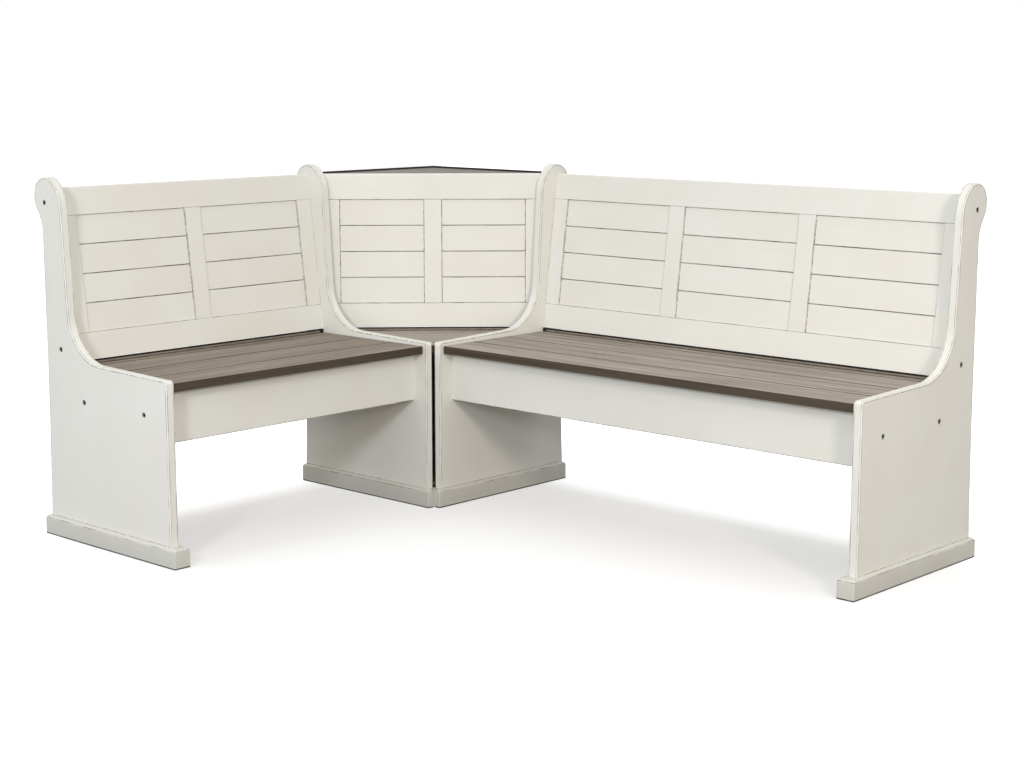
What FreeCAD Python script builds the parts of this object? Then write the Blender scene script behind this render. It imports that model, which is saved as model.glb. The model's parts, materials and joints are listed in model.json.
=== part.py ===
import FreeCAD, Part
import math
import os
from FreeCAD import Vector

os.makedirs("parts", exist_ok=True)

# Corner storage bench, in millimetres, +Z up. A long bench and a short bench meet a
# triangular corner unit. Depths are measured forward from the wall behind each bench,
# lengths from the room corner. The finished model is moved so that its origin lies at
# the middle of its footprint, on the floor.

# Plan
long_length = 1981.0        # room corner to the outer face of the right end panel
short_length = 1486.0       # room corner to the outer face of the left end panel
panel_depth = 539.0         # wall line to the front edge of each side panel
panel_thick = 25.0
corner_slit = 3.0           # open slit between the front edges of the corner panels

# Side panel outline
back_depth = 15.0           # upper, upright part of the rear edge
back_foot_depth = 4.0       # rear edge where it meets the foot
bow_height = 560.0          # where the rear edge turns upright
head_depth = 33.0           # centre of the scroll head
head_height = 922.0
head_radius = 53.0
hollow_radius = 95.0        # hollow under the scroll, at the rear
shoulder_turn = 40.0        # degrees past the top where the shoulder curve takes over
neck_depth = 102.0          # a point on the front of the neck
neck_height = 870.0
neck_lean = 3.4             # degrees
sweep_radius = 138.0        # sweep from the neck to the arm edge
arm_height = 482.0          # arm edge at the front
arm_slope = 1.4             # degrees
arm_corner_radius = 10.0
panel_round = 2.5           # rounded outline of the panels

# Sled feet
foot_height = 53.0
foot_width = 50.0
foot_front = 31.0           # reach past the panel's front edge
foot_back = 9.0             # reach behind the wall line, less than the scroll head's
corner_foot_front = 18.0
corner_foot_gap = 4.0       # open mitre joint between the corner feet
foot_round = 10.0
foot_end_round = 3.0

# Backrests
back_bottom = 483.5         # height of the front lower edge
back_face_depth = 95.1      # depth of that edge
back_lean = 7.4             # degrees, on both benches; the corner back is upright
back_slope_height = 468.5   # height along the slope
back_thick = 22.0
top_rail = 77.0
bottom_rail = 72.5
stile_width = 53.0          # stiles of the bench backrests beside the corner panels
long_end_stile = 58.0       # and beside the end panels
short_end_stile = 63.0
mullion_width = 55.0
corner_stile_width = 44.0   # as seen from the front
corner_mullion_width = 53.0
corner_back_depth = 441.7   # room corner to the front face, along the diagonal
rail_round = 5.0
plank_row_count = 4
plank_thick = 12.0
plank_recess = 4.0          # planks lie behind the face of the frame
plank_bevel = 1.5
groove = 8.0                # depth of the grooves that hold the planks
long_bay_count = 3
short_bay_count = 2
corner_bay_count = 2

# Seats
seat_top = 472.0
seat_thick = 23.0
seat_setback = 13.0         # seat front edge behind the panel's front edge
seat_board_count = 3        # boards in front of the narrow rear strip
seat_board_width = 134.0    # the front board takes what is left
strip_width = 33.0
board_bevel = 1.0
seat_side_gap = 2.0
seat_round = 2.0
batten_width = 40.0
batten_height = 18.0
batten_rear = 20.0          # batten ends behind and in front of the box walls
batten_front = 28.0
batten_inset = 150.0        # outer battens from the ends of the seat
long_batten_count = 3
short_batten_count = 2
corner_seat_gap = 4.0       # to the corner panels, square to them
corner_undercut_spare = 1.0 # the undercut of the rear corners reaches this much too far
corner_undercut_land = 1.0  # upright edge that is left above the undercut
corner_tip_flat = 3.0
corner_batten_length = 360.0
corner_batten_place = 70.0  # in front of the hinge line

# Storage boxes
box_bottom = 310.0
apron_setback = 49.0        # apron face behind the panel's front edge
apron_thick = 22.0
apron_round = 3.0
box_wall = 18.0
box_floor = 9.0
box_cleat_width = 15.0
box_cleat_height = 9.0
box_back_gap = 2.8          # rear wall's top edge below the backrest's front lower edge
box_rebate_drop = 2.0       # rebate beside the hinge, below the seat surface
box_rebate_clear = 1.0      # rebate behind the hinge's knuckles
corner_floor_thick = 12.0
corner_cleat = 20.0
corner_cleat_end = 30.0     # cleat ends short of the panels' front edges

# Corner shelf
shelf_drop = 3.5            # surface below the top of the corner rail
shelf_thick = 22.0
shelf_rail_height = 60.0    # below the shelf
shelf_rail_thick = 18.0
shelf_lip_height = 4.5      # the rails' rear lips stand above the shelf
shelf_lip_thick = 8.0

# Continuous hinges
pin_radius = 1.2
knuckle_radius = 3.0
knuckle_pitch = 48.0
pin_fit = 0.08              # radial clearance of the knuckles on the pin
knuckle_gap = 0.6           # between neighbouring knuckles
leaf_thick = 1.2
leaf_gap = 0.6              # between the closed leaves
leaf_height = 20.0
pin_rise = 3.5              # pin above the seat surface
pin_stand = 4.5             # pin in front of the backrest's face
hinge_inset = 20.0          # hinge ends short of the seat's ends
leaf_clear = 0.6            # leaf edge from the other leaf's knuckles

# Connector bolts
bolt_radius = 4.0
bolt_head_radius = 5.5
bolt_head_length = 7.0
bolt_sink = 1.0             # heads below the panel's face
bolt_socket = 5.0           # across the flats
bolt_socket_depth = 4.0
bolt_fit = 0.1
recess_fit = 0.5
rail_bolt_reach = 45.0
barrel_nut_radius = 5.0
barrel_nut_length = 16.0
barrel_nut_back = 10.0      # barrel nut from the bolt's tip
box_nut_flats = 13.0
box_nut_thick = 6.5
bolt_tail = 2.0
box_bolt_up = 75.0          # box bolts above the box's lower edge
box_bolt_rear = 79.0        # rear box bolt in front of the box's rear wall
box_bolt_front = 26.0       # front box bolt behind the apron

# Places that follow from the sizes
corner_reach = panel_depth + corner_slit + panel_thick
corner_inner = corner_reach - panel_thick
corner_line = corner_inner * math.sqrt(2)
foot_side = (foot_width - panel_thick) / 2
seat_bottom = seat_top - seat_thick
apron_face = panel_depth - apron_setback
pin_height = seat_top + pin_rise
lean = math.radians(back_lean)
face_at_pin = back_face_depth + (back_bottom - pin_height) * math.tan(lean)
bench_pin_depth = face_at_pin + pin_stand
corner_pin_depth = corner_back_depth + pin_stand
leaf_out = leaf_gap / 2 + leaf_thick
seat_swing = pin_rise + seat_thick
corner_play = corner_seat_gap * math.sqrt(2)
corner_undercut = (seat_swing ** 2 - corner_play ** 2) / (2 * corner_play) + corner_undercut_spare
upright_height = back_slope_height * math.cos(lean)
head_rear = head_depth - head_radius
middle_x = (long_length + foot_side + head_rear) / 2
middle_y = -(short_length + foot_side + head_rear) / 2

# Each unit is drawn along X with its front toward -Y, then turned into place
turn_long = 0.0
turn_short = 90.0
turn_corner = 45.0


def place(shape, turn):
    """Turns a piece from its unit's own frame into the finished model's."""
    moved = shape.copy()
    moved.rotate(Vector(0, 0, 0), Vector(0, 0, 1), turn)
    moved.translate(Vector(-middle_x, -middle_y, 0))
    return moved


def save(name, shapes, turn):
    """Writes one sub-part: one solid, or a group of like solids."""
    placed = [place(shape, turn) for shape in shapes]
    whole = placed[0] if len(placed) == 1 else Part.makeCompound(placed)
    whole.exportStep(os.path.join("parts", name + ".step"))


def block(x0, x1, y0, y1, z0, z1):
    """A plain board between two corners."""
    return Part.makeBox(x1 - x0, y1 - y0, z1 - z0, Vector(x0, y0, z0))


def rod(radius, start, end):
    """A round bar from one point to another."""
    way = end - start
    return Part.makeCylinder(radius, way.Length, start, way)


def prism(points, z0, z1):
    """An upright board cut to a plan outline."""
    corners = [Vector(x, y, z0) for x, y in points]
    face = Part.Face(Part.makePolygon(corners + corners[:1]))
    return face.extrude(Vector(0, 0, z1 - z0))


def hexagon(flats, start, way):
    """A six-sided bar along the bench, for sockets and nuts."""
    reach = flats / math.sqrt(3)
    corners = []
    for step in range(6):
        angle = math.radians(60 * step)
        corners.append(start + Vector(0, reach * math.cos(angle), reach * math.sin(angle)))
    face = Part.Face(Part.makePolygon(corners + corners[:1]))
    return face.extrude(Vector(way, 0, 0))


def one_solid(shape):
    """The single solid that a cut or a join leaves, with its faces merged."""
    tidy = shape.removeSplitter()
    return tidy.Solids[0]


def round_edges(shape, radius, wanted):
    """Rounds the edges that the test picks out."""
    edges = [edge for edge in shape.Edges if wanted(edge)]
    return one_solid(shape.makeFillet(radius, edges))


def along(edge, axis):
    """True for a straight edge that runs along one axis."""
    if len(edge.Vertexes) != 2 or not isinstance(edge.Curve, Part.Line):
        return False
    way = edge.Vertexes[1].Point - edge.Vertexes[0].Point
    return abs(abs(way.dot(axis)) - way.Length) < 1e-6


# Side panels

def outline_point(depth, height):
    return Vector(0, -depth, height)


def outline_arc(depth, height, radius, start, end):
    """An arc of the panel outline, about its centre, between two angles in degrees."""
    points = []
    for angle in (start, (start + end) / 2, end):
        turn = math.radians(angle)
        points.append(outline_point(depth + radius * math.cos(turn), height + radius * math.sin(turn)))
    return Part.Arc(*points).toShape()


def rear_edges():
    """The bowed rear edge up to the hollow, and the hollow under the scroll."""
    across = head_depth - back_depth + hollow_radius
    rise = math.sqrt((head_radius + hollow_radius) ** 2 - across ** 2)
    hollow_height = head_height - rise
    bow = back_depth - back_foot_depth
    bow_middle = (bow_height + foot_height) / 2
    foot_point = outline_point(back_foot_depth, foot_height)
    bow_top = outline_point(back_depth, bow_height)
    curve = Part.Arc(foot_point, outline_point(back_depth - bow / 4, bow_middle), bow_top).toShape()
    upright = Part.makeLine(bow_top, outline_point(back_depth, hollow_height))
    meeting = math.degrees(math.atan2(rise, across))
    hollow = outline_arc(back_depth - hollow_radius, hollow_height, hollow_radius, 0, meeting)
    return [curve, upright, hollow], meeting


def head_edges(meeting):
    """The round scroll head and the flatter shoulder that runs into the neck."""
    end = 90 - shoulder_turn
    head = outline_arc(head_depth, head_height, head_radius, meeting + 180, end)
    turn = math.radians(end)
    tip = math.radians(neck_lean)
    touch_depth = head_depth + head_radius * math.cos(turn)
    touch_height = head_height + head_radius * math.sin(turn)
    inside = (neck_depth - touch_depth) * math.cos(tip) + (neck_height - touch_height) * math.sin(tip)
    radius = inside / (1 - math.cos(turn - tip))
    centre_depth = touch_depth - radius * math.cos(turn)
    centre_height = touch_height - radius * math.sin(turn)
    shoulder = outline_arc(centre_depth, centre_height, radius, end, neck_lean)
    return [head, shoulder]


def sweep_and_arm_edges():
    """The sweep from the neck to the arm edge, and the rounded front corner."""
    tip = math.radians(neck_lean)
    slope = math.radians(arm_slope)
    neck_side = sweep_radius + neck_depth * math.cos(tip) + neck_height * math.sin(tip)
    arm_side = sweep_radius + panel_depth * math.sin(slope) + arm_height * math.cos(slope)
    share = math.cos(tip) * math.cos(slope) - math.sin(tip) * math.sin(slope)
    depth = (neck_side * math.cos(slope) - arm_side * math.sin(tip)) / share
    height = (arm_side * math.cos(tip) - neck_side * math.sin(slope)) / share
    sweep = outline_arc(depth, height, sweep_radius, 180 + neck_lean, 270 - arm_slope)
    corner_height = arm_height - arm_corner_radius * (1 - math.sin(slope)) / math.cos(slope)
    corner_depth = panel_depth - arm_corner_radius
    corner = outline_arc(corner_depth, corner_height, arm_corner_radius, 90 - arm_slope, 0)
    return [sweep, corner]


def end_of(edge, last):
    """The first or last point of an edge, in the order in which it was drawn."""
    return edge.valueAt(edge.LastParameter if last else edge.FirstParameter)


def panel_outline():
    """The closed outline that all four side panels share."""
    rear, meeting = rear_edges()
    head = head_edges(meeting)
    front = sweep_and_arm_edges()
    neck = Part.makeLine(end_of(head[-1], True), end_of(front[0], False))
    arm = Part.makeLine(end_of(front[0], True), end_of(front[1], False))
    toe = outline_point(panel_depth, foot_height)
    down = Part.makeLine(end_of(front[1], True), toe)
    under = Part.makeLine(toe, outline_point(back_foot_depth, foot_height))
    edges = rear + head + [neck, front[0], arm, front[1], down, under]
    return Part.Wire(Part.__sortEdges__(edges))


def rail_bolt_spots():
    """Depth and height of the bolts into the ends of both backrest rails."""
    spots = []
    for up in (back_slope_height - top_rail / 2, bottom_rail / 2):
        depth = back_face_depth - back_thick / 2 * math.cos(lean) - up * math.sin(lean)
        height = back_bottom + up * math.cos(lean) - back_thick / 2 * math.sin(lean)
        spots.append((depth, height))
    return spots


def box_bolt_spots():
    """Depth and height of the bolts into the ends of a storage box."""
    height = box_bottom + box_bolt_up
    rear = bench_pin_depth - leaf_out + box_bolt_rear
    front = apron_face - apron_thick - box_bolt_front
    return [(rear, height), (front, height)]


def side_panel(start, head_way):
    """A side panel with its bolt holes; the bolt heads sink into the face on one side."""
    face = Part.Face(panel_outline())
    body = face.extrude(Vector(panel_thick, 0, 0))
    body.translate(Vector(start, 0, 0))
    faces_x = (start, start + panel_thick)

    def on_outline(edge):
        box = edge.BoundBox
        flat = box.XLength < 1e-6 and min(abs(box.XMin - x) for x in faces_x) < 1e-6
        return flat and box.ZMax > foot_height + 1e-6

    body = round_edges(body, panel_round, on_outline)
    outer = start + panel_thick if head_way > 0 else start
    for depth, height in rail_bolt_spots() + box_bolt_spots():
        face_point = Vector(outer, -depth, height)
        through = face_point - Vector(head_way * panel_thick, 0, 0)
        body = body.cut(rod(bolt_radius + bolt_fit, face_point, through))
        seat = face_point - Vector(head_way * (bolt_sink + bolt_head_length), 0, 0)
        body = body.cut(rod(bolt_head_radius + recess_fit, face_point, seat))
    return one_solid(body)


def sled_foot(start):
    """The foot bar under an outer end panel."""
    middle = start + panel_thick / 2
    front = -(panel_depth + foot_front)
    bar = block(middle - foot_width / 2, middle + foot_width / 2, front, foot_back, 0, foot_height)
    return soften_foot(bar)


def soften_foot(bar):
    """Rounds a foot's upper edges well and its upright edges a little."""
    def upright(edge):
        return along(edge, Vector(0, 0, 1))

    def upper(edge):
        return edge.BoundBox.ZMin > foot_height - 1e-6

    bar = round_edges(bar, foot_end_round, upright)
    return round_edges(bar, foot_round, upper)


def corner_foot(side):
    """A corner foot, mitred where the two of them meet; side is 1 or -1."""
    inner = corner_inner + panel_thick / 2 - foot_width / 2
    outer = inner + foot_width
    front = panel_depth + corner_foot_front
    skew = corner_foot_gap / math.sqrt(2)
    plan = [(inner, 0), (outer, 0), (outer, -front), (front + skew, -front), (inner, -inner + skew)]
    if side < 0:
        plan = [(-y, -x) for x, y in reversed(plan)]
    return soften_foot(prism(plan, 0, foot_height))


# Backrests, drawn upright with the face on Y = 0 and the body behind it

def bay_edges(start, end, stiles, mullion, bays):
    """Where each bay between the two stiles and the mullions starts and ends."""
    clear = end - start - sum(stiles) - (bays - 1) * mullion
    bay = clear / bays
    places = []
    for number in range(bays):
        left = start + stiles[0] + number * (bay + mullion)
        places.append((left, left + bay))
    return places


def plank_zone(left, right, height):
    """The room that one bay's planks fill, with their edges in the grooves."""
    back = plank_recess + plank_thick
    lower = bottom_rail - groove
    return block(left - groove, right + groove, plank_recess, back, lower, height - top_rail + groove)


def planks(left, right, height):
    """One bay of planks, each with beveled joints along its face."""
    bottom = bottom_rail
    row = (height - top_rail - bottom_rail) / plank_row_count
    boards = []
    for number in range(plank_row_count):
        low = bottom + number * row
        high = low + row
        if number == 0:
            low -= groove
        if number == plank_row_count - 1:
            high += groove
        front = plank_recess
        back = plank_recess + plank_thick
        section = [
            (front, low + plank_bevel),
            (front + plank_bevel, low),
            (back, low),
            (back, high),
            (front + plank_bevel, high),
            (front, high - plank_bevel),
        ]
        corners = [Vector(left - groove, y, z) for y, z in section]
        face = Part.Face(Part.makePolygon(corners + corners[:1]))
        boards.append(face.extrude(Vector(right - left + 2 * groove, 0, 0)))
    return boards


def backrest(start, end, bays, height, stiles, mullion):
    """The frame and planks of one backrest, as named lists of solids."""
    places = bay_edges(start, end, stiles, mullion, bays)
    zones = [plank_zone(left, right, height) for left, right in places]

    def grooved(board):
        for zone in zones:
            board = board.cut(zone)
        return one_solid(board)

    def top_edge(edge):
        return along(edge, Vector(1, 0, 0)) and edge.BoundBox.ZMin > height - 1e-6

    rail_low = height - top_rail
    upper = round_edges(block(start, end, 0, back_thick, rail_low, height), rail_round, top_edge)
    lower = block(start, end, 0, back_thick, 0, bottom_rail)
    first = block(start, places[0][0], 0, back_thick, bottom_rail, rail_low)
    last = block(places[-1][1], end, 0, back_thick, bottom_rail, rail_low)
    mullions = []
    for number in range(bays - 1):
        left = places[number][1]
        mullions.append(grooved(block(left, left + mullion, 0, back_thick, bottom_rail, rail_low)))
    return {
        "top_rail": [grooved(upper)],
        "bottom_rail": [grooved(lower)],
        "stiles": [grooved(first), grooved(last)],
        "mullions": mullions,
        "planks": [planks(left, right, height) for left, right in places],
    }


def lean_back(shape):
    """Leans a bench's backrest back and sets it at its height and depth."""
    moved = shape.copy()
    moved.rotate(Vector(0, 0, 0), Vector(1, 0, 0), -back_lean)
    moved.translate(Vector(0, -back_face_depth, back_bottom))
    return moved


def rail_end_holes(rail, start, end, up):
    """Bores for the connector bolts and their barrel nuts in both ends of a rail."""
    centre = back_thick / 2
    for edge, way in ((start, 1), (end, -1)):
        tip = Vector(edge + way * rail_bolt_reach, centre, up)
        rail = rail.cut(rod(bolt_radius + bolt_fit, Vector(edge, centre, up), tip))
        nut_x = edge + way * (rail_bolt_reach - barrel_nut_back)
        front = centre - barrel_nut_length / 2
        bore = rod(barrel_nut_radius + bolt_fit, Vector(nut_x, back_thick, up), Vector(nut_x, front, up))
        rail = rail.cut(bore)
    return one_solid(rail)


def barrel_nuts(start, end, up):
    """The cross dowels that the rail bolts screw into."""
    nuts = []
    centre = back_thick / 2
    for edge, way in ((start, 1), (end, -1)):
        nut_x = edge + way * (rail_bolt_reach - barrel_nut_back)
        half = barrel_nut_length / 2
        nut = rod(barrel_nut_radius, Vector(nut_x, centre - half, up), Vector(nut_x, centre + half, up))
        side = Vector(barrel_nut_radius, 0, 0)
        middle = Vector(nut_x, centre, up)
        nut = nut.cut(rod(bolt_radius + bolt_fit, middle - side * 2, middle + side * 2))
        nuts.append(nut)
    return nuts


# Bolts

def bolt(depth, height, bench_end, way, reach):
    """A socket-head bolt from a panel's far face into the bench; way points to the panel."""
    outer = bench_end + way * panel_thick
    crown = Vector(outer - way * bolt_sink, -depth, height)
    neck = crown - Vector(way * bolt_head_length, 0, 0)
    tip = Vector(bench_end - way * reach, -depth, height)
    body = rod(bolt_head_radius, crown, neck).fuse(rod(bolt_radius, neck, tip))
    socket = hexagon(bolt_socket, crown, -way * bolt_socket_depth)
    return one_solid(body.cut(socket))


def bench_bolts(start, end):
    """All eight connector bolts of one bench."""
    bolts = []
    box_reach = box_wall + box_nut_thick + bolt_tail
    for edge, way in ((start, -1), (end, 1)):
        for depth, height in rail_bolt_spots():
            bolts.append(bolt(depth, height, edge, way, rail_bolt_reach))
        for depth, height in box_bolt_spots():
            bolts.append(bolt(depth, height, edge, way, box_reach))
    return bolts


def box_nuts(start, end):
    """The nuts inside the storage box."""
    nuts = []
    for edge, way in ((start, 1), (end, -1)):
        for depth, height in box_bolt_spots():
            seat = Vector(edge + way * box_wall, -depth, height)
            nut = hexagon(box_nut_flats, seat, way * box_nut_thick)
            far = seat + Vector(way * box_nut_thick, 0, 0)
            nuts.append(nut.cut(rod(bolt_radius + bolt_fit, seat, far)))
    return nuts


# Storage box under a bench seat

def knuckle_rebate(start, end, pin_depth):
    """The rebate along a rear wall's upper front edge that clears the hinge's knuckles."""
    clear = -(pin_depth - knuckle_radius - box_rebate_clear)
    return block(start, end, -pin_depth, clear, seat_top - box_rebate_drop, back_bottom)


def bench_box(start, end):
    """Apron, rear wall, two end walls, floor and floor cleats of one bench."""
    rear = -(bench_pin_depth - leaf_out)
    front = -(apron_face - apron_thick)

    def lower_front(edge):
        low = edge.BoundBox.ZMax < box_bottom + 1e-6
        return along(edge, Vector(1, 0, 0)) and low

    apron = block(start, end, -apron_face, front, box_bottom, seat_bottom)
    apron = round_edges(apron, apron_round, lower_front)
    back = block(start, end, rear, rear + box_wall, box_bottom, back_bottom - box_back_gap)
    back = back.cut(knuckle_rebate(start, end, bench_pin_depth))
    ends = []
    for edge, way in ((start, 1), (end, -1)):
        low_x, high_x = sorted((edge, edge + way * box_wall))
        wall = block(low_x, high_x, front, rear, box_bottom, seat_bottom)
        for depth, height in box_bolt_spots():
            near = Vector(edge, -depth, height)
            wall = wall.cut(rod(bolt_radius + bolt_fit, near, near + Vector(way * box_wall, 0, 0)))
        ends.append(one_solid(wall))
    inner = (start + box_wall, end - box_wall)
    low = box_bottom + box_cleat_height
    floor = block(inner[0], inner[1], front, rear, low, low + box_floor)
    cleats = [
        block(inner[0], inner[1], front, front + box_cleat_width, box_bottom, low),
        block(inner[0], inner[1], rear - box_cleat_width, rear, box_bottom, low),
    ]
    return {"apron": apron, "back": back, "ends": ends, "floor": floor, "cleats": cleats}


# Seats

def seat_board(start, end, front, rear, is_front):
    """One seat board, with small bevels along its upper edges."""
    section = [
        (front, seat_bottom),
        (rear, seat_bottom),
        (rear, seat_top - board_bevel),
        (rear - board_bevel, seat_top),
        (front + board_bevel, seat_top),
        (front, seat_top - board_bevel),
    ]
    if is_front:
        section[-2:] = [(front, seat_top)]
    corners = [Vector(start, y, z) for y, z in section]
    face = Part.Face(Part.makePolygon(corners + corners[:1]))
    board = face.extrude(Vector(end - start, 0, 0))
    if not is_front:
        return board

    def nose(edge):
        return along(edge, Vector(1, 0, 0)) and edge.BoundBox.YMax < front + 1e-6

    return round_edges(board, seat_round, nose)


def bench_seat(start, end, batten_count):
    """The hinged seat of a bench: rear strip, wide boards and the battens under them."""
    left = start + seat_side_gap
    right = end - seat_side_gap
    rear = -(bench_pin_depth + leaf_out)
    front = -(panel_depth - seat_setback)
    strip_front = rear - strip_width
    strip = seat_board(left, right, strip_front, rear, False)
    boards = []
    for number in range(seat_board_count):
        board_rear = strip_front - number * seat_board_width
        is_front = number == seat_board_count - 1
        board_front = front if is_front else board_rear - seat_board_width
        boards.append(seat_board(left, right, board_front, board_rear, is_front))
    first = left + batten_inset
    step = (right - left - 2 * batten_inset) / (batten_count - 1)
    box_rear = -(bench_pin_depth - leaf_out)
    box_front = -(apron_face - apron_thick)
    battens = []
    for number in range(batten_count):
        middle = first + number * step
        battens.append(block(middle - batten_width / 2, middle + batten_width / 2,
                             box_front + batten_front, box_rear - batten_rear,
                             seat_bottom - batten_height, seat_bottom))
    return {"strip": strip, "boards": boards, "battens": battens}


# Continuous hinge: leaves hang down from the pin while the seat is shut

def knuckle_places(start, end):
    """Start and end of each knuckle, and the leaf that it belongs to."""
    count = 2 * round((end - start) / (2 * knuckle_pitch)) + 1
    pitch = (end - start) / count
    places = []
    for number in range(count):
        left = start + number * pitch + knuckle_gap / 2
        places.append((left, left + pitch - knuckle_gap, number % 2 == 0))
    return places


def hinge_leaf(start, end, depth, on_frame):
    """One leaf with its own knuckles; the frame's leaf lies behind the seat's."""
    bore = pin_radius + pin_fit
    drop = knuckle_radius + leaf_clear
    if on_frame:
        rear = -depth + leaf_gap / 2
    else:
        rear = -depth - leaf_out
    leaf = block(start, end, rear, rear + leaf_thick, pin_height - drop - leaf_height, pin_height - drop)
    pieces = []
    for left, right, is_frame in knuckle_places(start, end):
        if is_frame != on_frame:
            continue
        near = Vector(left, -depth, pin_height)
        far = Vector(right, -depth, pin_height)
        arm = block(left, right, rear, rear + leaf_thick, pin_height - drop - leaf_clear, pin_height)
        barrel = rod(knuckle_radius, near, far).fuse(arm)
        pieces.append(barrel.cut(rod(bore, near, far)))
    return one_solid(leaf.fuse(pieces))


def hinge_pin(start, end, depth):
    """The wire that runs through all knuckles of one hinge."""
    return rod(pin_radius, Vector(start, -depth, pin_height), Vector(end, -depth, pin_height))


# Corner unit, drawn about the diagonal with its front toward -Y

def between_panels(front, rear, z0, z1):
    """A board across the corner whose ends lie flat on both corner panels."""
    plan = [
        (-(corner_line - front), -front),
        (corner_line - front, -front),
        (corner_line - rear, -rear),
        (-(corner_line - rear), -rear),
    ]
    return prism(plan, z0, z1)


def corner_backrest():
    """The upright backrest across the corner, its ends cut to lie on the panels."""
    rear = corner_back_depth - back_thick
    half = corner_line - rear
    room = between_panels(corner_back_depth, rear, 0, upright_height + back_bottom)
    stile = half - (corner_line - corner_back_depth) + corner_stile_width
    pieces = backrest(-half, half, corner_bay_count, upright_height, (stile, stile), corner_mullion_width)

    def fitted(shape):
        moved = shape.copy()
        moved.translate(Vector(0, -corner_back_depth, back_bottom))
        return one_solid(moved.common(room))

    for name in ("top_rail", "bottom_rail", "stiles", "mullions"):
        pieces[name] = [fitted(shape) for shape in pieces[name]]
    pieces["planks"] = [[fitted(board) for board in bay] for bay in pieces["planks"]]
    return pieces


def corner_box():
    """Rear wall, floor and the two seat cleats of the deep corner box."""
    face = corner_pin_depth - leaf_out
    rear = face - box_wall
    floor_top = foot_height + corner_floor_thick
    back = between_panels(face, rear, floor_top, back_bottom - box_back_gap)
    back = back.cut(knuckle_rebate(-corner_line, corner_line, corner_pin_depth))
    tip = (0, -corner_line)
    half = corner_line - rear
    floor = prism([(-half, -rear), tip, (half, -rear)], foot_height, floor_top)
    return back, floor


def corner_cleats():
    """Ledges on the corner panels that carry the seat, drawn in the long bench's frame."""
    # the rear end of each cleat stands on the rear wall's face, which crosses at 45 degrees
    face = (corner_pin_depth - leaf_out) * math.sqrt(2)
    inner = corner_inner - corner_cleat
    front = -(corner_inner - corner_cleat_end)
    plan = [
        (corner_inner, -(face - corner_inner)),
        (inner, -(face - inner)),
        (inner, front),
        (corner_inner, front),
    ]
    mirrored = [(-y, -x) for x, y in reversed(plan)]
    low = seat_bottom - corner_cleat
    return [prism(plan, low, seat_bottom), prism(mirrored, low, seat_bottom)]


def corner_undercuts(rear_half, rear, side_point):
    """Wedges that clear the seat's lower rear corners from the panels as it swings up."""
    swing = math.hypot(leaf_out, seat_swing) - leaf_out
    low_x, low_y = side_point
    wedges = []
    for side in (-1, 1):
        corner = Vector(side * rear_half, -rear, seat_bottom)
        land = Vector(side * rear_half, -rear, seat_top - corner_undercut_land)
        inner = Vector(side * (rear_half - swing), -rear, seat_bottom)
        along_side = Vector(side * low_x, low_y, seat_bottom)
        points = [corner, land, inner, along_side]
        faces = []
        for skipped in range(4):
            ring = [point for number, point in enumerate(points) if number != skipped]
            faces.append(Part.Face(Part.makePolygon(ring + ring[:1])))
        wedges.append(Part.Solid(Part.Shell(faces)))
    return wedges


def corner_seat():
    """The triangular hinged seat, undercut at its rear corners, and its batten."""
    rear = corner_pin_depth + leaf_out
    limit = corner_line - corner_seat_gap * math.sqrt(2)
    rear_half = limit - rear
    tip_depth = limit - corner_tip_flat
    plan = [
        (-rear_half, -rear),
        (-corner_tip_flat, -tip_depth),
        (corner_tip_flat, -tip_depth),
        (rear_half, -rear),
    ]
    board = prism(plan, seat_bottom, seat_top)
    side_point = (limit - rear - corner_undercut, -(rear + corner_undercut))
    for wedge in corner_undercuts(rear_half, rear, side_point):
        board = board.cut(wedge)
    place_y = -(rear + corner_batten_place)
    half = corner_batten_length / 2
    batten = block(-half, half, place_y - batten_width, place_y,
                   seat_bottom - batten_height, seat_bottom)
    hinge_half = rear_half - math.hypot(leaf_out, seat_swing)
    return one_solid(board), batten, hinge_half


def wall_strip(side, thick, z0, z1):
    """A strip along one wall line of the corner, mitred into its twin; side is 1 or -1."""
    plan = [(0, 0), (corner_inner, 0), (corner_inner, -thick), (thick, -thick)]
    if side < 0:
        plan = [(-y, -x) for x, y in reversed(plan)]
    return prism(plan, z0, z1)


def corner_shelf():
    """The triangular top behind the corner backrest, and the lipped rails along its wall edges."""
    top = back_bottom + upright_height - shelf_drop
    front = corner_back_depth - back_thick
    low = top - shelf_thick
    half = corner_line - front
    wall_end = corner_inner / math.sqrt(2)
    inset = shelf_lip_thick * math.sqrt(2)
    plan = [
        (0, -inset),
        (-wall_end + inset / 2, -wall_end - inset / 2),
        (-half, -front),
        (half, -front),
        (wall_end - inset / 2, -wall_end - inset / 2),
    ]
    shelf = prism(plan, low, top)
    rails = []
    for side in (-1, 1):
        ledge = wall_strip(side, shelf_rail_thick, low - shelf_rail_height, low)
        lip = wall_strip(side, shelf_lip_thick, low, top + shelf_lip_height)
        rails.append(one_solid(ledge.fuse(lip)))
    return shelf, rails


def save_backrest(name, pieces, turn, finish):
    """Saves one backrest's frame and each bay of its planks."""
    save(name + "_top_rail", [finish(shape) for shape in pieces["top_rail"]], turn)
    save(name + "_bottom_rail", [finish(shape) for shape in pieces["bottom_rail"]], turn)
    save(name + "_stiles", [finish(shape) for shape in pieces["stiles"]], turn)
    save(name + "_mullions", [finish(shape) for shape in pieces["mullions"]], turn)
    for number, boards in enumerate(pieces["planks"], start=1):
        save(name + "_planks_" + str(number), [finish(board) for board in boards], turn)


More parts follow.
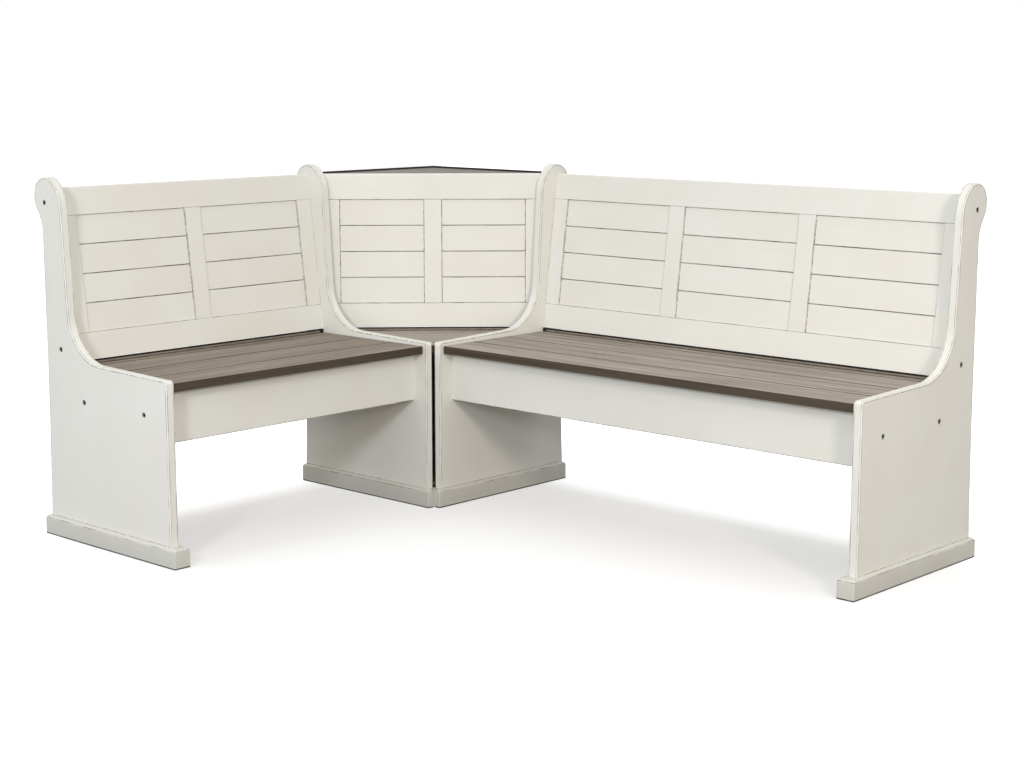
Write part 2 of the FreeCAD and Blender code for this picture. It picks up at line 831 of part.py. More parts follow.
def make_bench(name, start, end, bays, stiles, batten_count, turn):
    """A bench between two side panels: backrest, box, seat and hinge."""
    pieces = backrest(start, end, bays, back_slope_height, stiles, mullion_width)
    heights = {"top_rail": back_slope_height - top_rail / 2, "bottom_rail": bottom_rail / 2}
    nuts = []
    for rail, up in heights.items():
        pieces[rail] = [rail_end_holes(pieces[rail][0], start, end, up)]
        nuts += [lean_back(nut) for nut in barrel_nuts(start, end, up)]
    save_backrest(name, pieces, turn, lean_back)
    box = bench_box(start, end)
    save(name + "_apron", [box["apron"]], turn)
    save(name + "_box_back", [box["back"]], turn)
    save(name + "_box_ends", box["ends"], turn)
    save(name + "_box_floor", [box["floor"]], turn)
    save(name + "_box_cleats", box["cleats"], turn)
    seat = bench_seat(start, end, batten_count)
    save(name + "_seat_strip", [seat["strip"]], turn)
    save(name + "_seat_boards", seat["boards"], turn)
    save(name + "_seat_battens", seat["battens"], turn)
    hinge = (start + hinge_inset, end - hinge_inset, bench_pin_depth)
    save(name + "_hinge_frame_leaf", [hinge_leaf(*hinge, True)], turn)
    save(name + "_hinge_seat_leaf", [hinge_leaf(*hinge, False)], turn)
    return [place(hinge_pin(*hinge), turn)], [place(nut, turn) for nut in nuts]


def make_corner():
    """The corner unit between the two corner panels."""
    save_backrest("corner", corner_backrest(), turn_corner, lambda shape: shape)
    back, floor = corner_box()
    save("corner_box_back", [back], turn_corner)
    save("corner_box_floor", [floor], turn_corner)
    save("corner_seat_cleats", corner_cleats(), turn_long)
    board, batten, half = corner_seat()
    save("corner_seat_board", [board], turn_corner)
    save("corner_seat_batten", [batten], turn_corner)
    hinge = (-half + hinge_inset, half - hinge_inset, corner_pin_depth)
    save("corner_hinge_frame_leaf", [hinge_leaf(*hinge, True)], turn_corner)
    save("corner_hinge_seat_leaf", [hinge_leaf(*hinge, False)], turn_corner)
    shelf, rails = corner_shelf()
    save("corner_shelf", [shelf], turn_corner)
    save("corner_shelf_rails", rails, turn_long)
    return [place(hinge_pin(*hinge), turn_corner)]


def save_placed(name, shapes):
    """Writes a group of like solids that already stand in their places."""
    Part.makeCompound(shapes).exportStep(os.path.join("parts", name + ".step"))


def make_panels_and_feet():
    """Four side panels on their sled feet."""
    right_start = long_length - panel_thick
    save("right_end_panel", [side_panel(right_start, 1)], turn_long)
    save("corner_panel_right", [side_panel(corner_inner, -1)], turn_long)
    save("left_end_panel", [side_panel(-short_length, -1)], turn_short)
    save("corner_panel_left", [side_panel(-corner_reach, 1)], turn_short)
    save("right_foot", [sled_foot(right_start)], turn_long)
    save("left_foot", [sled_foot(-short_length)], turn_short)
    save("corner_foot_right", [corner_foot(1)], turn_long)
    save("corner_foot_left", [corner_foot(-1)], turn_long)


long_span = (corner_reach, long_length - panel_thick)
short_span = (-short_length + panel_thick, -corner_reach)
make_panels_and_feet()
long_stiles = (stile_width, long_end_stile)
short_stiles = (short_end_stile, stile_width)
long_pins, long_nuts = make_bench("long", *long_span, long_bay_count, long_stiles,
                                  long_batten_count, turn_long)
short_pins, short_nuts = make_bench("short", *short_span, short_bay_count, short_stiles,
                                    short_batten_count, turn_short)
corner_pins = make_corner()
save_placed("hinge_pins", long_pins + short_pins + corner_pins)
save_placed("barrel_nuts", long_nuts + short_nuts)
all_bolts = [place(shape, turn_long) for shape in bench_bolts(*long_span)]
all_bolts += [place(shape, turn_short) for shape in bench_bolts(*short_span)]
save_placed("connector_bolts", all_bolts)
all_box_nuts = [place(shape, turn_long) for shape in box_nuts(*long_span)]
all_box_nuts += [place(shape, turn_short) for shape in box_nuts(*short_span)]
save_placed("box_nuts", all_box_nuts)
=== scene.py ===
import functools
import json
import math
import random

import bmesh
import bpy
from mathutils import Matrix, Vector

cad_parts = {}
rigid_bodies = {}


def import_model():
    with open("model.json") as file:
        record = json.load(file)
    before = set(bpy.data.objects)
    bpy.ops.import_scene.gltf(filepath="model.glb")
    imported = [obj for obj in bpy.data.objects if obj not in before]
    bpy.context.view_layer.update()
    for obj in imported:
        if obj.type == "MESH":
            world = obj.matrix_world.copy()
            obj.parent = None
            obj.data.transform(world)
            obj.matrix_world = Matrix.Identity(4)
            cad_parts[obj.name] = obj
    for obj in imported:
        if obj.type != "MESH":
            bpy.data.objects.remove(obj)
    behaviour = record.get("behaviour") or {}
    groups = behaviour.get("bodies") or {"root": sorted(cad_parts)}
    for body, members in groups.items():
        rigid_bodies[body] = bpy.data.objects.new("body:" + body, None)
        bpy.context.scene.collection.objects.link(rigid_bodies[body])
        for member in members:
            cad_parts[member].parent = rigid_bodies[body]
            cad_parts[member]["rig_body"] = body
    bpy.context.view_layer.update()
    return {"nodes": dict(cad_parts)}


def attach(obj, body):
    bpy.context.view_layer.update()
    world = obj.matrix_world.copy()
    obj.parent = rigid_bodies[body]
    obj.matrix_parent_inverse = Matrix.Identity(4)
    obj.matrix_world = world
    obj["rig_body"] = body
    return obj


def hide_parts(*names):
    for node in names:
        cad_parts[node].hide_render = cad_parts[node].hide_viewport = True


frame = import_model()
nodes = frame["nodes"]


# Sled feet. Solid timber bars under the side panels, their edges rounded over and painted with
# the rest. Their paint is greyed as painted shade, most of it at the floor, and the edge on the
# floor carries a painted contact shadow. The two at the corner are mitred. They are screwed up
# into the panels.

def linear(code):
    """An sRGB hex colour as the linear colour that a shader takes."""
    channels = [int(code[i:i + 2], 16) / 255 for i in (1, 3, 5)]
    return [c / 12.92 if c <= 0.04045 else ((c + 0.055) / 1.055) ** 2.4 for c in channels] + [1.0]


def add(tree, kind, inputs=None, **settings):
    """Adds one node. Settings are its properties; inputs are values or other nodes' outputs."""
    made = tree.nodes.new(kind)
    for name, value in settings.items():
        setattr(made, name, value)
    for name, value in (inputs or {}).items():
        if isinstance(value, bpy.types.NodeSocket):
            tree.links.new(value, made.inputs[name])
        else:
            made.inputs[name].default_value = value
    return made


def new_finish(name):
    """A material that is still blank, with its node tree and its shader."""
    material = bpy.data.materials.new(name)
    material.use_nodes = True
    return material, material.node_tree, material.node_tree.nodes["Principled BSDF"]


def board_place(tree, turn):
    """Object coordinates turned to the unit's own length, depth and height, moved on per board."""
    place = add(tree, "ShaderNodeTexCoord").outputs["Object"]
    board = add(tree, "ShaderNodeAttribute", attribute_name="board").outputs["Color"]
    moved = add(tree, "ShaderNodeVectorMath", {0: place, 1: board}, operation="ADD").outputs[0]
    rotation = (0, 0, math.radians(turn))
    turned = add(tree, "ShaderNodeMapping", {"Vector": moved, "Rotation": rotation},
                 vector_type="TEXTURE")
    return turned.outputs[0]


def mottle(tree, place, size, detail=3.0):
    """Noise whose features have the given real sizes in metres along length, depth and height."""
    sized = add(tree, "ShaderNodeMapping", {"Vector": place, "Scale": size}, vector_type="TEXTURE")
    inputs = {"Vector": sized.outputs[0], "Scale": 1.0, "Detail": detail}
    return add(tree, "ShaderNodeTexNoise", inputs).outputs["Fac"]


def ramp(tree, value, low, high, to_low=0.0, to_high=1.0):
    """Stretches a value from one range to another and keeps it there."""
    inputs = {"Value": value, "From Min": low, "From Max": high,
              "To Min": to_low, "To Max": to_high}
    return add(tree, "ShaderNodeMapRange", inputs).outputs[0]


def lay_over(tree, tone, code, pattern, low, high, least=0.0, most=1.0):
    """Lays a colour over a tone. Its share goes from least, where the pattern is at low, to most,
    where it is at high."""
    share = ramp(tree, pattern, low, high, least, most)
    inputs = {"Fac": share, "Color1": tone, "Color2": linear(code)}
    return add(tree, "ShaderNodeMixRGB", inputs).outputs[0]


def grain_size(grain, long, fine):
    """A feature size that is long along the grain, 0 for length, 1 for depth and 2 for height."""
    size = [fine, fine, fine]
    size[grain] = long
    return size


antique_white, warm_white = "#e2e2db", "#e0ded6"
# The last grey here is painted shade on the feet, a little stronger towards the floor.
brush_shade, pore_shade, painted_shade_grey = "#d6d5cc", "#c4c1b4", "#8d8b80"
brush_mark = (0.45, 0.009)
paint_pore = (0.09, 0.0022)
rubbed_patch = (0.05, 0.010)
tone_cloud = (0.22, 0.22, 0.22)
painted_shade_height = 0.045
# The colour of the glaze in each coat, and the least and most of it that shows. In joints the glaze
# also stands for painted shade, and the near-black coat is painted shadow rather than glaze.
glaze_and_shadow_coats = {
    "worn": ("#5d574b", 0.28, 0.95),
    "glaze_and_shade": ("#5f594d", 0.60, 0.98),
    "painted_shadow": ("#26231f", 0.90, 1.00),
}


@functools.cache
def antique_paint(turn, grain, coat):
    """Brushed antique white on poplar boards: matt, with faint grain and brush marks showing.
    The worn coat is for eased arrises, where the paint is rubbed and brown glaze stays in
    broken lines; the glazed coat is for joints, where the glaze gathers, and it also stands in for
    the shade there as painted shade; the near-black coat is painted shadow, for slits and the edge
    on the floor; the feet's coat greys the paint towards the floor as painted shade."""
    material, tree, shader = new_finish(f"{coat}_paint_{turn}_{grain}")
    place = board_place(tree, turn)
    brush = mottle(tree, place, grain_size(grain, *brush_mark))
    cloud = mottle(tree, place, tone_cloud, 2.0)
    pores = mottle(tree, place, grain_size(grain, *paint_pore))
    tone = lay_over(tree, linear(antique_white), warm_white, cloud, 0.35, 0.65)
    tone = lay_over(tree, tone, brush_shade, brush, 0.35, 0.75, most=0.09)
    tone = lay_over(tree, tone, pore_shade, pores, 0.60, 0.74, most=0.06)
    # Painted shade on the feet: grey over the whole foot, a little more of it towards the floor.
    if coat == "low_shaded":
        rise = add(tree, "ShaderNodeTexCoord").outputs["Object"]
        rise = add(tree, "ShaderNodeSeparateXYZ", {"Vector": rise}).outputs["Z"]
        tone = lay_over(tree, tone, painted_shade_grey, rise, 0.0, painted_shade_height, 0.40, 0.30)
    if coat in glaze_and_shadow_coats:
        glaze, least, most = glaze_and_shadow_coats[coat]
        worn_off = mottle(tree, place, grain_size(grain, *rubbed_patch))
        tone = lay_over(tree, tone, glaze, worn_off, 0.42, 0.60, least, most)
    tree.links.new(tone, shader.inputs["Base Color"])
    matt = ramp(tree, brush, 0.3, 0.7, 0.50, 0.62)
    tree.links.new(matt, shader.inputs["Roughness"])
    relief = add(tree, "ShaderNodeMath", {0: brush, 1: pores}, operation="SUBTRACT").outputs[0]
    bump = add(tree, "ShaderNodeBump", {"Height": relief, "Strength": 0.08, "Distance": 0.0003})
    tree.links.new(bump.outputs[0], shader.inputs["Normal"])
    return material


def painted(turn, grain):
    """The paint coats of one piece: plain, worn on arrises, glazed in joints with painted shade
    there too, and painted shadow in slits and along the edge on the floor.
    """
    return [antique_paint(turn, grain, coat) for coat in ("antique", "worn", "glaze_and_shade", "painted_shadow")]


along, across, upright = 0, 1, 2
plain, worn, glaze_and_shade, painted_shadow = 0, 1, 2, 3
weld = 0.00001
# The angles between faces below which they count as one flat face, above which their edge is an
# arris or a groove, and, as a cosine, below which they share a normal.
flat_angle = math.radians(0.4)
arris_angle = math.radians(30)
groove_angle = 0.5
shallow = math.cos(math.radians(50))


def loose_boards(bm):
    """The separate boards of one node, as lists of faces. Boards that touch meet in a groove,
    so the search stops at grooves."""
    waiting = set(bm.faces)
    boards = []
    while waiting:
        seed = next(face for face in bm.faces if face in waiting)
        waiting.discard(seed)
        board = [seed]
        reached = [seed]
        while reached:
            face = reached.pop()
            for edge in face.edges:
                in_groove = not edge.is_convex and edge.calc_face_angle(0) > groove_angle
                if not edge.is_manifold or in_groove:
                    continue
                for other in edge.link_faces:
                    if other in waiting:
                        waiting.discard(other)
                        board.append(other)
                        reached.append(other)
        boards.append(board)
    return boards


def joined_copy(node):
    """A node's solid with its loose triangles joined into whole flat faces."""
    bm = bmesh.new()
    bm.from_mesh(nodes[node].data)
    bmesh.ops.remove_doubles(bm, verts=bm.verts, dist=weld)
    bmesh.ops.dissolve_limit(bm, angle_limit=flat_angle, verts=bm.verts, edges=bm.edges)
    for face in bm.faces:
        face.material_index = plain
    return bm


def ease(bm, width):
    """Rounds the arrises a little, as sandpaper does, and marks them as the rubbed part."""
    arrises = [edge for edge in bm.edges
               if edge.is_manifold and edge.is_convex and edge.calc_face_angle(0) > arris_angle]
    rounded = bmesh.ops.bevel(bm, geom=arrises, offset=width, offset_type="OFFSET", segments=2,
                              profile=0.5, affect="EDGES", clamp_overlap=True, material=-1)
    for face in rounded["faces"]:
        face.material_index = worn


def mark_strip(bm, way, low, high, coat):
    """Cuts the mesh at two places along one direction and gives the strip between them a coat."""
    for place in (low, high):
        geometry = list(bm.verts) + list(bm.edges) + list(bm.faces)
        bmesh.ops.bisect_plane(bm, geom=geometry, plane_co=place * way, plane_no=way, dist=weld)
    for face in bm.faces:
        if low < face.calc_center_median().dot(way) < high:
            face.material_index = coat


def even_normals(mesh):
    """Keeps wide faces flat beside eased arrises: each corner takes the normal of the faces
    that meet there at a shallow angle, weighted by their areas."""
    around = [[] for _ in mesh.vertices]
    for face in mesh.polygons:
        for vertex in face.vertices:
            around[vertex].append(face)
    normals = []
    for face in mesh.polygons:
        for vertex in face.vertices:
            total = Vector((0.0, 0.0, 0.0))
            for other in around[vertex]:
                if other.normal.dot(face.normal) > shallow:
                    total += other.normal * other.area
            normals.append(total.normalized())
    mesh.normals_split_custom_set(normals)


chance = random.Random(7)
grain_shift = 9.0


def finish_board(bm, node, coats, soft=True):
    """Turns a worked copy into the piece that stands for its node. Each board takes its grain
    from another place, up to nine metres on."""
    layer = bm.faces.layers.float.new("board")
    for board in loose_boards(bm):
        number = chance.uniform(0.0, grain_shift)
        for face in board:
            face[layer] = number
    for face in bm.faces:
        face.smooth = soft
    mesh = bpy.data.meshes.new(node + "_finished")
    bm.to_mesh(mesh)
    bm.free()
    if soft:
        even_normals(mesh)
    for coat in coats:
        mesh.materials.append(coat)
    piece = bpy.data.objects.new(node + "_finished", mesh)
    bpy.context.scene.collection.objects.link(piece)
    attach(piece, nodes[node]["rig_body"])
    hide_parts(node)


height = Vector((0.0, 0.0, 1.0))
foot_ease = 0.0008
# Painted contact shadow: the bottom of each foot, up to this height, takes the near-black coat.
contact_shadow_band = 0.0038
shoulder_height = 0.0475
shoulder_line = 0.0016

for node in ("left_foot", "right_foot", "corner_foot_left", "corner_foot_right"):
    turn = 90 if "left" in node else 0
    foot = joined_copy(node)
    mark_strip(foot, height, shoulder_height - shoulder_line, shoulder_height, worn)
    ease(foot, foot_ease)
    # Painted contact shadow along the edge that stands on the floor.
    mark_strip(foot, height, 0.0, contact_shadow_band, painted_shadow)
    coats = [antique_paint(turn, across, "low_shaded")] + painted(turn, across)[1:]
    finish_board(foot, node, coats)


# Side panels. Four boards 25 mm thick, sawn to the scroll outline and rounded over with a router,
# then painted. Dark glaze sits in the fine line where the round-over meets the flat face.
# They are drilled for the connector bolts.

glaze_line = 0.0018
edge_line = 0.0014
slit_strip = 0.0018
slit_top = 0.50
panel_round = 0.0025
# How far a face's normal points along its thickness, upwards and to the front.
flat_on, edge_on, front_on = 0.999, 0.3, 0.15
# The directions of each panel by its turn: its thickness, to the slit and to the front.
panel_ways = {
    0: (Vector((1.0, 0.0, 0.0)), Vector((-1.0, 0.0, 0.0)), Vector((0.0, -1.0, 0.0))),
    90: (Vector((0.0, 1.0, 0.0)), Vector((0.0, 1.0, 0.0)), Vector((1.0, 0.0, 0.0))),
}


def glaze_outline(bm, thick):
    """Marks a fine worn ring along the outline of both flat faces."""
    flat = [face for face in bm.faces if abs(face.normal.dot(thick)) > flat_on]
    ring = bmesh.ops.inset_region(bm, faces=flat, thickness=glaze_line, depth=0.0,
                                  use_boundary=True, use_even_offset=False)
    for face in ring["faces"]:
        face.material_index = worn


def paint_slit_shadow(bm, to_slit, to_front):
    """Paints shadow, in the near-black coat, on the arris and a fine strip beside it that face the
    open slit between the two panels.
    """
    inner = max(vertex.co.dot(to_slit) for vertex in bm.verts)
    strip_start = inner - panel_round - slit_strip
    mark_strip(bm, to_slit, strip_start, inner - panel_round, plain)
    for face in bm.faces:
        middle = face.calc_center_median()
        beside = middle.dot(to_slit) > strip_start
        below_arm = middle.z < slit_top and abs(face.normal.z) < edge_on
        if beside and below_arm and face.normal.dot(to_front) > front_on:
            face.material_index = painted_shadow


for node in ("left_end_panel", "right_end_panel", "corner_panel_left", "corner_panel_right"):
    turn = 90 if "left" in node else 0
    thick, to_slit, to_front = panel_ways[turn]
    panel = joined_copy(node)
    glaze_outline(panel, thick)
    reach = [vertex.co.dot(thick) for vertex in panel.verts]
    low, high = min(reach) + panel_round, max(reach) - panel_round
    mark_strip(panel, thick, low, low + edge_line, worn)
    mark_strip(panel, thick, high - edge_line, high, worn)
    # The corner panels get painted shadow along the slit between them.
    if "corner" in node:
        paint_slit_shadow(panel, to_slit, to_front)
    finish_board(panel, node, painted(turn, upright))


# Backrests. Two reclined ones on the benches and an upright one across the corner: stiles and
# mullions are tongued into the rails, and four rows of planks float in grooves. The joints are
# eased before painting, so glaze gathers in them; the dark strips beside the rails and the dark
# bevels between the planks are that glaze and painted shade of the recesses together.

unit_turn = {"long": 0, "short": 90, "corner": 45}
bench_lean = math.radians(7.4)
frame_ease = 0.0009
tongue = 0.008
joint_glaze_and_shade = 0.0016
# How far a face's normal points up on a plank's bevel, and to the front on its edges.
bevel_least, bevel_most, plank_edge = 0.2, 0.95, 0.2
frame_parts = (("top_rail", along), ("bottom_rail", along), ("stiles", upright),
               ("mullions", upright))


def level_ways(unit):
    """The level directions along one unit and to its rear."""
    turn = math.radians(unit_turn[unit])
    side = Vector((math.cos(turn), math.sin(turn), 0.0))
    rear = Vector((-math.sin(turn), math.cos(turn), 0.0))
    return side, rear


def glaze_and_shade_joints(bm, unit):
    """Marks the strips of plank beside the stiles and rails, and the bevels between planks. Those
    beside the rails and the bevels are glaze and painted shade of the recesses together.
    """
    side, rear = level_ways(unit)
    lean = 0.0 if unit == "corner" else bench_lean
    up = math.sin(lean) * rear + math.cos(lean) * height
    front = side.cross(up)
    covered = tongue + joint_glaze_and_shade
    for way, coat in ((side, worn), (up, glaze_and_shade)):
        reach = [vertex.co.dot(way) for vertex in bm.verts]
        mark_strip(bm, way, min(reach), min(reach) + covered, coat)
        mark_strip(bm, way, max(reach) - covered, max(reach), coat)
    for face in bm.faces:
        bevelled = bevel_least < abs(face.normal.dot(up)) < bevel_most
        if bevelled or abs(face.normal.dot(front)) < plank_edge:
            face.material_index = glaze_and_shade


for unit, turn in unit_turn.items():
    for part, grain in frame_parts:
        node = unit + "_" + part
        rail = joined_copy(node)
        ease(rail, frame_ease)
        finish_board(rail, node, painted(turn, grain))
    for node in sorted(name for name in nodes if name.startswith(unit + "_planks_")):
        planks = joined_copy(node)
        glaze_and_shade_joints(planks, unit)
        finish_board(planks, node, painted(turn, along), soft=False)


# Aprons. One painted board under the front of each bench seat, which is also the front wall of
# its storage box. It is glued and screwed to the box.

apron_line = 0.0022

for unit in ("long", "short"):
    node = unit + "_apron"
    apron = joined_copy(node)
    lower_edge = min(vertex.co.z for vertex in apron.verts)
    mark_strip(apron, height, lower_edge, lower_edge + apron_line, worn)
    ease(apron, frame_ease)
    finish_board(apron, node, painted(unit_turn[unit], along))


# Seats and corner shelf. Wide boards on each bench and triangular panels at the corner, held by
# battens and cleats below. They are stained grey-brown, with open grain, and the edges and seams
# took more stain than the faces.

oak_streak = (0.50, 0.012)
oak_band = (0.60, 0.06)
oak_pore = (0.05, 0.0016)
seam_patch = (0.12, 0.02)
seam_dark = "#29221b"
lacquer_shine = 0.22
# Pale, middle and dark tones: of the faces per unit, and of the other coats. The seat units differ
# as painted light: the long seat paler for the sheen it shows, the corner seat paler against the
# shade of its panels, the short seat darker.
light_matched_tones = {
    "long": ("#ada499", "#8d8377", "#544b41"),
    "short": ("#978c80", "#7c7165", "#544b41"),
    "corner": ("#aea69b", "#968d82", "#544b41"),
    "shelf": ("#86847a", "#726f65", "#544b41"),
}
# The other coats: edge and seam are stain, and slit is painted shadow for slits and shaded rear
# edges.
stain_and_shadow_tones = {
    "edge": ("#50463a", "#40372d", "#2b241e"),
    "slit": ("#2e261e", "#241d16", "#17120e"),
    "seam": ("#6a6053", "#564c40", "#332c25"),
}


@functools.cache
def stained_board(turn, grain, coat, tone_set):
    """Grey-brown stained oak veneer under satin lacquer: long streaks, dark pores, pale high
    spots. End and front faces took more stain, and it gathers beside the seams in broken dark
    lines. The face tones differ a little from unit to unit as painted light: the sheen of the long
    seat, and the corner seat lightened against its shade. The slit coat is painted shadow, near
    black-brown. The shine is low, because the seats are seen at a flat angle, where a stronger one
    would wash out the stain."""
    material, tree, shader = new_finish(f"stained_{coat}_{tone_set}_{grain}")
    place = board_place(tree, turn)
    streak = mottle(tree, place, grain_size(grain, *oak_streak), 4.0)
    broad = mottle(tree, place, grain_size(grain, *oak_band), 2.0)
    pores = mottle(tree, place, grain_size(grain, *oak_pore), 2.0)
    pale, middle, dark = light_matched_tones[tone_set] if coat == "board" else stain_and_shadow_tones[coat]
    tone = lay_over(tree, linear(middle), pale, streak, 0.40, 0.58)
    tone = lay_over(tree, tone, middle, broad, 0.42, 0.62, most=0.50)
    tone = lay_over(tree, tone, dark, streak, 0.30, 0.42, 0.55, 0.0)
    tone = lay_over(tree, tone, dark, pores, 0.55, 0.68, most=0.55)
    if coat == "seam":
        gathered = mottle(tree, place, grain_size(grain, *seam_patch))
        tone = lay_over(tree, tone, seam_dark, gathered, 0.36, 0.50, 0.45, 1.0)
    tree.links.new(tone, shader.inputs["Base Color"])
    tree.links.new(ramp(tree, streak, 0.3, 0.7, 0.48, 0.60), shader.inputs["Roughness"])
    shader.inputs["Specular IOR Level"].default_value = lacquer_shine
    bump = add(tree, "ShaderNodeBump", {"Height": pores, "Strength": 0.3, "Distance": 0.0004},
               invert=True)
    tree.links.new(bump.outputs[0], shader.inputs["Normal"])
    return material


edge_face, seam_face = 1, 2
seam_strip = 0.0034
lip_shade = 0.030
lip_height = 0.0045
seat_ease = 0.0009
# How far a face's normal points up on a side and on a board's level top.
steep, nearly_level = 0.5, 0.95
shelf_walls = (Vector((0.0, 1.0, 0.0)), Vector((-1.0, 0.0, 0.0)))


def darken_seams(bm, unit, is_strip):
    """Marks a fine strip on both sides of each seam between the boards of a bench seat. The
    narrow rear strip has one only at its front, and the other boards have none at the front edge
    of the seat."""
    _, rear = level_ways(unit)
    spans = []
    for board in loose_boards(bm):
        reach = [vertex.co.dot(rear) for face in board for vertex in face.verts]
        spans.append((min(reach), max(reach)))
    front_edge = min(spans)[0]
    for low, high in spans:
        if not is_strip:
            mark_strip(bm, rear, high - seam_strip, high, seam_face)
        if is_strip or low > front_edge:
            mark_strip(bm, rear, low, low + seam_strip, seam_face)


for node in ("long_seat_strip", "long_seat_boards", "short_seat_strip", "short_seat_boards",
             "corner_seat_board", "corner_shelf", "corner_shelf_rails"):
    unit = node.split("_")[0]
    seat = joined_copy(node)
    seat_top = max(vertex.co.z for vertex in seat.verts)
    if unit != "corner":
        darken_seams(seat, unit, "strip" in node)
    ease(seat, seat_ease)
    # Painted shade: a dark strip along the shelf's two rear edges, beside its rails; the top of the
    # rails is painted near black-brown too.
    if node == "corner_shelf":
        for wall in shelf_walls:
            rear = max(vertex.co.dot(wall) for vertex in seat.verts)
            mark_strip(seat, wall, rear - lip_shade, rear, seam_face)
    if node == "corner_shelf_rails":
        mark_strip(seat, height, seat_top - lip_height, seat_top + lip_height, seam_face)
    for face in seat.faces:
        if abs(face.normal.z) < steep and face.material_index != seam_face:
            face.material_index = edge_face
        elif steep < face.normal.z < nearly_level:
            face.material_index = seam_face
    tone_set, seam = ("shelf", "slit") if "shelf" in node else (unit, "seam")
    coats = [stained_board(unit_turn[unit], along, coat, tone_set) for coat in ("board", "edge", seam)]
    finish_board(seat, node, coats)


# Storage boxes. Plain birch plywood walls and floors with pine cleats and battens, sealed but not
# stained, glued and screwed between the side panels. Edges that show in a slit, at the top of the
# rear walls and round the corner floor, are painted near black-brown as painted shadow in the slit.

birch_streak = (0.60, 0.014)
birch_fine = (0.08, 0.002)


@functools.cache
def plain_wood(turn, grain):
    """Sealed birch and pine, straight from the planer: pale, with a soft grain."""
    material, tree, shader = new_finish(f"plain_wood_{turn}_{grain}")
    place = board_place(tree, turn)
    streak = mottle(tree, place, grain_size(grain, *birch_streak), 4.0)
    fine = mottle(tree, place, grain_size(grain, *birch_fine), 2.0)
    tone = lay_over(tree, linear("#cdb892"), "#bfa67c", streak, 0.35, 0.65)
    tone = lay_over(tree, tone, "#a68a5f", fine, 0.55, 0.70, most=0.4)
    tree.links.new(tone, shader.inputs["Base Color"])
    tree.links.new(ramp(tree, fine, 0.3, 0.7, 0.5, 0.65), shader.inputs["Roughness"])
    bump = add(tree, "ShaderNodeBump", {"Height": fine, "Strength": 0.2, "Distance": 0.0003})
    tree.links.new(bump.outputs[0], shader.inputs["Normal"])
    return material


inner_ease = 0.0006
rebate_height = 0.471
slit_shadow_face = 2
inner_parts = ("box_back", "box_ends", "box_floor", "box_cleats", "seat_battens", "seat_batten",
               "seat_cleats")

for unit, turn in unit_turn.items():
    for part in inner_parts:
        node = unit + "_" + part
        if node not in nodes:
            continue
        grain = across if part in ("box_ends", "seat_battens") else along
        wood = plain_wood(turn, grain)
        slit_shadow_stain = stained_board(turn, grain, "slit", unit)
        inner = joined_copy(node)
        ease(inner, inner_ease)
        # Painted shadow on the edges that are seen in the slits.
        for face in inner.faces:
            slit_side = part == "box_back" and face.calc_center_median().z > rebate_height
            floor_edge = node == "corner_box_floor" and abs(face.normal.z) < steep
            if slit_side or floor_edge:
                face.material_index = slit_shadow_face
        finish_board(inner, node, [wood, wood, slit_shadow_stain])


# Hinges. Continuous strips of rolled steel with a bronzed finish, screwed to the rear wall of
# each box and to the rear edge of each seat, turning on one wire pin.

def metal_finish(name, patch_size, tones, smooth, rough, metallic=0.0):
    """A metal surface with a mottle of the given size in its tone and its shine."""
    material, tree, shader = new_finish(name)
    place = add(tree, "ShaderNodeTexCoord").outputs["Object"]
    patch = mottle(tree, place, (patch_size, patch_size, patch_size))
    tone = lay_over(tree, linear(tones[0]), tones[1], patch, 0.4, 0.65)
    tree.links.new(tone, shader.inputs["Base Color"])
    tree.links.new(ramp(tree, patch, 0.3, 0.7, smooth, rough), shader.inputs["Roughness"])
    shader.inputs["Metallic"].default_value = metallic
    return material


def coat_node(node, material):
    """Gives a CAD node its finish and leaves its mesh alone."""
    nodes[node].data.materials.clear()
    nodes[node].data.materials.append(material)


# Bronzed steel strip is covered by its brown finish, so it is satin rather than mirror-like, and
# a little paler where it is handled.
bronzed_steel = metal_finish("bronzed_steel", 0.03, ("#7b7165", "#6c6257"), 0.40, 0.52)
for node in sorted(name for name in nodes if "hinge" in name):
    coat_node(node, bronzed_steel)


# Connector bolts and nuts. Socket-head bolts with a black oxide finish, sunk into the panels, run
# into cross dowels in the rails and into nuts inside the boxes, so that the benches knock down.

# Black oxide on alloy steel is near black and slightly oily. Zinc plate is pale grey with a faint
# crystalline mottle.
black_oxide = metal_finish("black_oxide", 0.005, ("#141414", "#1f1e1d"), 0.35, 0.5, metallic=0.6)
zinc_plate = metal_finish("zinc_plate", 0.004, ("#a9aaa8", "#bfc0bd"), 0.28, 0.42, metallic=1.0)
coat_node("connector_bolts", black_oxide)
for node in ("barrel_nuts", "box_nuts"):
    coat_node(node, zinc_plate)


# The setting: a pale floor that keeps the shadow and fades to white away from the bench, and a
# room that is brighter overhead. The floor's share of white light of its own is lowest near the
# bench, on the side away from the walls, where the shadow falls.

floor_half = 14.0
floor_lift, floor_bounce, floor_seen = 0.42, 0.20, 0.58
shadow_fades, shadow_ends = 1.5, 2.6
left_wall = (-1.10, -0.85)
rear_wall = (0.85, 0.60)


def seen_share(tree):
    """1 for the rays that show the background itself, to the camera, in metal and through glass,
    and 0 for the light that it throws on the bench."""
    rays = add(tree, "ShaderNodeLightPath").outputs
    seen = add(tree, "ShaderNodeMath", {0: rays["Is Camera Ray"], 1: rays["Is Glossy Ray"]},
               operation="MAXIMUM").outputs[0]
    return add(tree, "ShaderNodeMath", {0: seen, 1: rays["Is Transmission Ray"]},
               operation="MAXIMUM").outputs[0]


